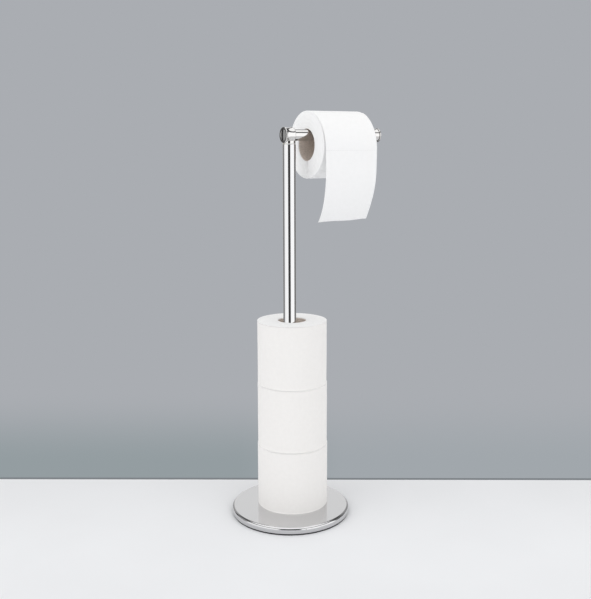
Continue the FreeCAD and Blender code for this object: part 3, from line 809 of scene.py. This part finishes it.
def studio_world(heading, wall_colour):
    """Soft studio light.

    Cameras see a plain grey, and matt pieces a plain white from all round. Steel sees tall soft
    panels with narrow dark gaps between them, as round a product table. Below the panels it sees
    a pale floor, above them a dark ceiling with a bright opening, and low behind the table shade.
    """
    plain_strength, shade_level = 0.9, 0.08
    # levels round the table, by degrees from straight behind the camera towards its right
    round_panels = [(-180, 0.89), (-166, 0.89), (-160, 0.42), (-130, 0.42), (-128, 0.02), (-121, 0.02),
                    (-119, 0.38), (-94, 0.38), (-87, 1.3), (-23, 1.4), (-18, 0.06), (18, 0.06),
                    (23, 1.4), (92, 1.4), (97, 0.15), (125, 0.15), (128, 0.35), (160, 0.35),
                    (166, 0.89), (180, 0.89)]
    # levels below and above the panels, and how much of the panels is seen between them, by the
    # height of the direction: -1 is straight down and 1 straight up
    by_height = [(-1.0, 0.8), (-0.28, 0.8), (0.56, 0.08), (0.744, 0.08), (0.808, 1.3), (1.0, 1.3)]
    panel_share = [(-0.374, 0.0), (-0.276, 1.0), (0.544, 1.0), (0.588, 0.0)]

    world = bpy.data.worlds.new("studio")
    bpy.context.scene.world = world
    world.use_nodes = True
    tree = world.node_tree
    tree.nodes.clear()
    place = add(tree, "ShaderNodeTexCoord").outputs["Generated"]
    turned = add(tree, "ShaderNodeMapping", {"Vector": place, "Rotation": (0.0, 0.0, heading)})
    right, away, up = add(tree, "ShaderNodeSeparateXYZ", {"Vector": turned}).outputs
    back = add(tree, "ShaderNodeMath", {0: away, 1: -1.0}, operation="MULTIPLY")
    angle = add(tree, "ShaderNodeMath", {0: right, 1: back}, operation="ARCTAN2")
    turn = add(tree, "ShaderNodeMath", {0: angle, 1: 1 / FULL_TURN, 2: 0.5}, operation="MULTIPLY_ADD")
    panels = add(tree, "ShaderNodeValToRGB", {"Fac": turn},
                 stops=[(degrees / 360 + 0.5, grey(level)) for degrees, level in round_panels])
    rise = add(tree, "ShaderNodeMath", {0: up, 1: 0.5, 2: 0.5}, operation="MULTIPLY_ADD")
    high = add(tree, "ShaderNodeValToRGB", {"Fac": rise},
               stops=[(height / 2 + 0.5, grey(level)) for height, level in by_height])
    among = add(tree, "ShaderNodeValToRGB", {"Fac": rise},
                stops=[(height / 2 + 0.5, grey(share)) for height, share in panel_share])
    seen_by_steel = add(tree, "ShaderNodeMix", {0: among, 6: high, 7: panels}, data_type="RGBA")
    low = add(tree, "ShaderNodeMapRange", {
        "Value": up, "From Min": -0.46, "From Max": -0.38, "To Min": 1.0, "To Max": 0.0})
    behind = add(tree, "ShaderNodeMapRange", {"Value": away, "From Min": 0.1, "From Max": 0.2})
    under = add(tree, "ShaderNodeMath", {0: low, 1: behind}, operation="MULTIPLY")
    with_shade = add(tree, "ShaderNodeMix", {
        0: under, 6: seen_by_steel.outputs[2], 7: grey(shade_level)}, data_type="RGBA")
    path = add(tree, "ShaderNodeLightPath")
    direct = add(tree, "ShaderNodeMath", {0: path.outputs["Diffuse Depth"], 1: 0.5}, operation="LESS_THAN")
    mirrored = add(tree, "ShaderNodeMath", {0: path.outputs["Is Glossy Ray"], 1: direct},
                   operation="MULTIPLY")
    steel = add(tree, "ShaderNodeBackground", {"Color": with_shade.outputs[2]})
    plain = add(tree, "ShaderNodeBackground", {"Color": grey(1.0), "Strength": plain_strength})
    beyond = add(tree, "ShaderNodeBackground", {"Color": wall_colour})
    lit = add(tree, "ShaderNodeMixShader", {0: mirrored, 1: plain, 2: steel})
    shown = add(tree, "ShaderNodeMixShader", {0: path.outputs["Is Camera Ray"], 1: lit, 2: beyond})
    add(tree, "ShaderNodeOutputWorld", {"Surface": shown})


def floor_material(colour, away):
    """Pale honed stone: plain and matt, with very soft clouding and a little painted shade towards the wall.
    """
    material, tree = new_material("pale_floor")
    bright_at, darker_at, cloud_size = -200 * MM, 120 * MM, 250 * MM
    place = add(tree, "ShaderNodeTexCoord").outputs["Object"]
    depth = add(tree, "ShaderNodeVectorMath", {0: place, 1: away}, operation="DOT_PRODUCT")
    # painted shade: the floor's colour falls to 0.93 of itself towards the wall
    level = add(tree, "ShaderNodeMapRange", {
        "Value": depth.outputs["Value"], "From Min": bright_at, "From Max": darker_at,
        "To Min": 1.0, "To Max": 0.93}, interpolation_type="SMOOTHSTEP")
    clouds = add(tree, "ShaderNodeTexNoise", {"Vector": place, "Scale": 1 / cloud_size, "Detail": 3.0})
    tint = add(tree, "ShaderNodeValToRGB", {"Fac": clouds},
               stops=[(0.3, darker(colour, 0.97)), (0.7, colour)])
    shaded = add(tree, "ShaderNodeVectorMath", {0: tint, "Scale": level}, operation="SCALE")
    shader = add(tree, "ShaderNodeBsdfDiffuse", {"Color": shaded, "Roughness": 0.5})
    add(tree, "ShaderNodeOutputMaterial", {"Surface": shader})
    return material


def wall_material(colour, right):
    """Grey wall behind the floor, which isn't seen from behind.

    It is plain above and darker low down, more so on the left, with a dark line along its foot.
    """
    material, tree = new_material("grey_wall")
    shaded_to, plain_from, foot_height, side_reach = 28.5 * MM, 161.5 * MM, 3.42 * MM, 90 * MM
    place = add(tree, "ShaderNodeTexCoord").outputs["Object"]
    height = add(tree, "ShaderNodeSeparateXYZ", {"Vector": place}).outputs["Z"]
    along = add(tree, "ShaderNodeVectorMath", {0: place, 1: right}, operation="DOT_PRODUCT")
    side = add(tree, "ShaderNodeMapRange", {
        "Value": along.outputs["Value"], "From Min": -side_reach, "From Max": side_reach})
    rise = add(tree, "ShaderNodeMapRange", {
        "Value": height, "From Min": shaded_to, "From Max": plain_from}, interpolation_type="SMOOTHSTEP")
    shaded = add(tree, "ShaderNodeMix", {0: side, 6: WALL_SHADE_LEFT, 7: WALL_SHADE_RIGHT}, data_type="RGBA")
    tint = add(tree, "ShaderNodeMix", {0: rise, 6: shaded.outputs[2], 7: colour}, data_type="RGBA")
    foot = add(tree, "ShaderNodeMath", {0: height, 1: foot_height}, operation="LESS_THAN")
    with_foot = add(tree, "ShaderNodeMix", {0: foot, 6: tint.outputs[2], 7: WALL_FOOT_SHADE},
                    data_type="RGBA")
    glow = add(tree, "ShaderNodeEmission", {"Color": with_foot.outputs[2]})
    clear = add(tree, "ShaderNodeBsdfTransparent")
    face = add(tree, "ShaderNodeNewGeometry")
    shader = add(tree, "ShaderNodeMixShader", {0: face.outputs["Backfacing"], 1: glow, 2: clear})
    add(tree, "ShaderNodeOutputMaterial", {"Surface": shader})
    return material


def stage_plane(name, corners, material):
    """A flat stage piece from its four corners."""
    mesh = bpy.data.meshes.new(name)
    mesh.from_pydata(corners, [], [(0, 1, 2, 3)])
    mesh.materials.append(material)
    plane = bpy.data.objects.new(name, mesh)
    bpy.context.scene.collection.objects.link(plane)
    return plane


def lay_stage(stage, away, right):
    """The floor under the holder, a wide floor just below it, and the wall where the floor ends."""
    reach, far_reach, drop, wall_height = 0.5, 60.0, 0.1 * MM, 20.0

    def at(rightward, depth, height=0.0):
        return right * rightward + away * depth + UP * height

    def on_wall(rightward, height=0.0):
        return at(rightward, stage.floor_depth - stage.wall_slope * rightward, height)

    stone = floor_material(list(stage.floor_colour), away)
    stage_plane("floor", [at(-reach, -reach), at(reach, -reach), on_wall(reach), on_wall(-reach)], stone)
    far_floor = stage_plane("far_floor", [at(-far_reach, -far_reach, -drop), at(far_reach, -far_reach, -drop),
                                          at(far_reach, far_reach, -drop), at(-far_reach, far_reach, -drop)],
                            stone)
    # past the near floor, steel sees the studio round the table
    far_floor.visible_glossy = False
    wall = stage_plane("wall", [on_wall(-far_reach), on_wall(far_reach), on_wall(far_reach, wall_height),
                                on_wall(-far_reach, wall_height)],
                       wall_material(list(stage.wall_colour), right))
    # only the camera sees the wall: it lights nothing, isn't mirrored and throws no shadow
    wall.visible_diffuse = False
    wall.visible_glossy = False
    wall.visible_shadow = False


def soft_lamp(name, towards, strength):
    """A soft light from far off, 60 degrees wide. Steel sees the panels instead of it."""
    lamp = bpy.data.lights.new(name, "SUN")
    lamp.angle = math.radians(60.0)
    lamp.energy = strength
    made = bpy.data.objects.new(name, lamp)
    made.rotation_euler = towards.to_track_quat("Z", "Y").to_euler()
    made.visible_glossy = False
    made.visible_camera = False
    bpy.context.scene.collection.objects.link(made)


def place_camera(stage, away, right):
    """Camera that looks away and down by the pitch, and is turned about its view by the roll."""
    look = away * math.cos(stage.pitch) - UP * math.sin(stage.pitch)
    up = right.cross(look)
    rolled_right = right * math.cos(stage.roll) + up * math.sin(stage.roll)
    rolled_up = up * math.cos(stage.roll) - right * math.sin(stage.roll)
    camera = bpy.data.objects.new("camera", bpy.data.cameras.new("camera"))
    camera.data.lens = stage.lens
    camera.matrix_world = (Matrix.Translation(stage.camera_place)
                           @ Matrix((rolled_right, rolled_up, -look)).transposed().to_4x4())
    bpy.context.scene.collection.objects.link(camera)
    bpy.context.scene.camera = camera


class HOLDER_OT_stage(bpy.types.Operator):
    """Set up the camera, the floor, the wall and the light"""

    bl_idname = "holder.set_stage"
    bl_label = "Set Stage"
    bl_options = {"REGISTER", "UNDO"}

    def execute(self, context):
        stage = context.scene.holder_stage
        away = Vector((math.sin(stage.heading), math.cos(stage.heading), 0.0))
        right = Vector((math.cos(stage.heading), -math.sin(stage.heading), 0.0))
        place_camera(stage, away, right)
        lay_stage(stage, away, right)
        studio_world(stage.heading, list(stage.wall_colour))
        soft_lamp("key_lamp", -away * 1.1 - right * 1.5 + UP * 0.7, stage.key_strength)
        soft_lamp("fill_lamp", -away * 1.5 + right * 1.3 + UP * 0.3, stage.fill_strength)
        context.scene.view_settings.view_transform = "Standard"
        return {"FINISHED"}


# Panel and registration

class HOLDER_PT_panel(bpy.types.Panel):
    """Lists the holder's settings and its steps"""

    bl_label = "Roll Holder"
    bl_idname = "HOLDER_PT_panel"
    bl_space_type = "VIEW_3D"
    bl_region_type = "UI"
    bl_category = "Roll Holder"

    def draw(self, context):
        for group, settings in SETTINGS.items():
            column = self.layout.column()
            for name in settings.__annotations__:
                column.prop(getattr(context.scene, group), name)
        for operator in OPERATORS:
            self.layout.operator(operator.bl_idname)


SETTINGS = {
    "holder_paper": HolderPaperSettings,
    "holder_sheet": HolderSheetSettings,
    "holder_board": HolderBoardSettings,
    "holder_steel": HolderSteelSettings,
    "holder_stage": HolderStageSettings,
}
OPERATORS = (HOLDER_OT_stage, HOLDER_OT_steel, HOLDER_OT_inside, HOLDER_OT_spare_rolls,
             HOLDER_OT_hanging_roll, HOLDER_OT_loose_sheet)


def register():
    for name, settings in SETTINGS.items():
        bpy.utils.register_class(settings)
        setattr(bpy.types.Scene, name, PointerProperty(type=settings))
    for operator in OPERATORS:
        bpy.utils.register_class(operator)
    bpy.utils.register_class(HOLDER_PT_panel)


def unregister():
    bpy.utils.unregister_class(HOLDER_PT_panel)
    for operator in reversed(OPERATORS):
        bpy.utils.unregister_class(operator)
    for name, settings in reversed(SETTINGS.items()):
        delattr(bpy.types.Scene, name)
        bpy.utils.unregister_class(settings)


def main():
    """Runs every step in order."""
    register()
    bpy.ops.holder.set_stage()
    bpy.ops.holder.finish_steel()
    bpy.ops.holder.finish_inside()
    bpy.ops.holder.wind_spare_rolls()
    bpy.ops.holder.wind_hanging_roll()
    bpy.ops.holder.hang_loose_sheet()


if __name__ == "__main__":
    main()
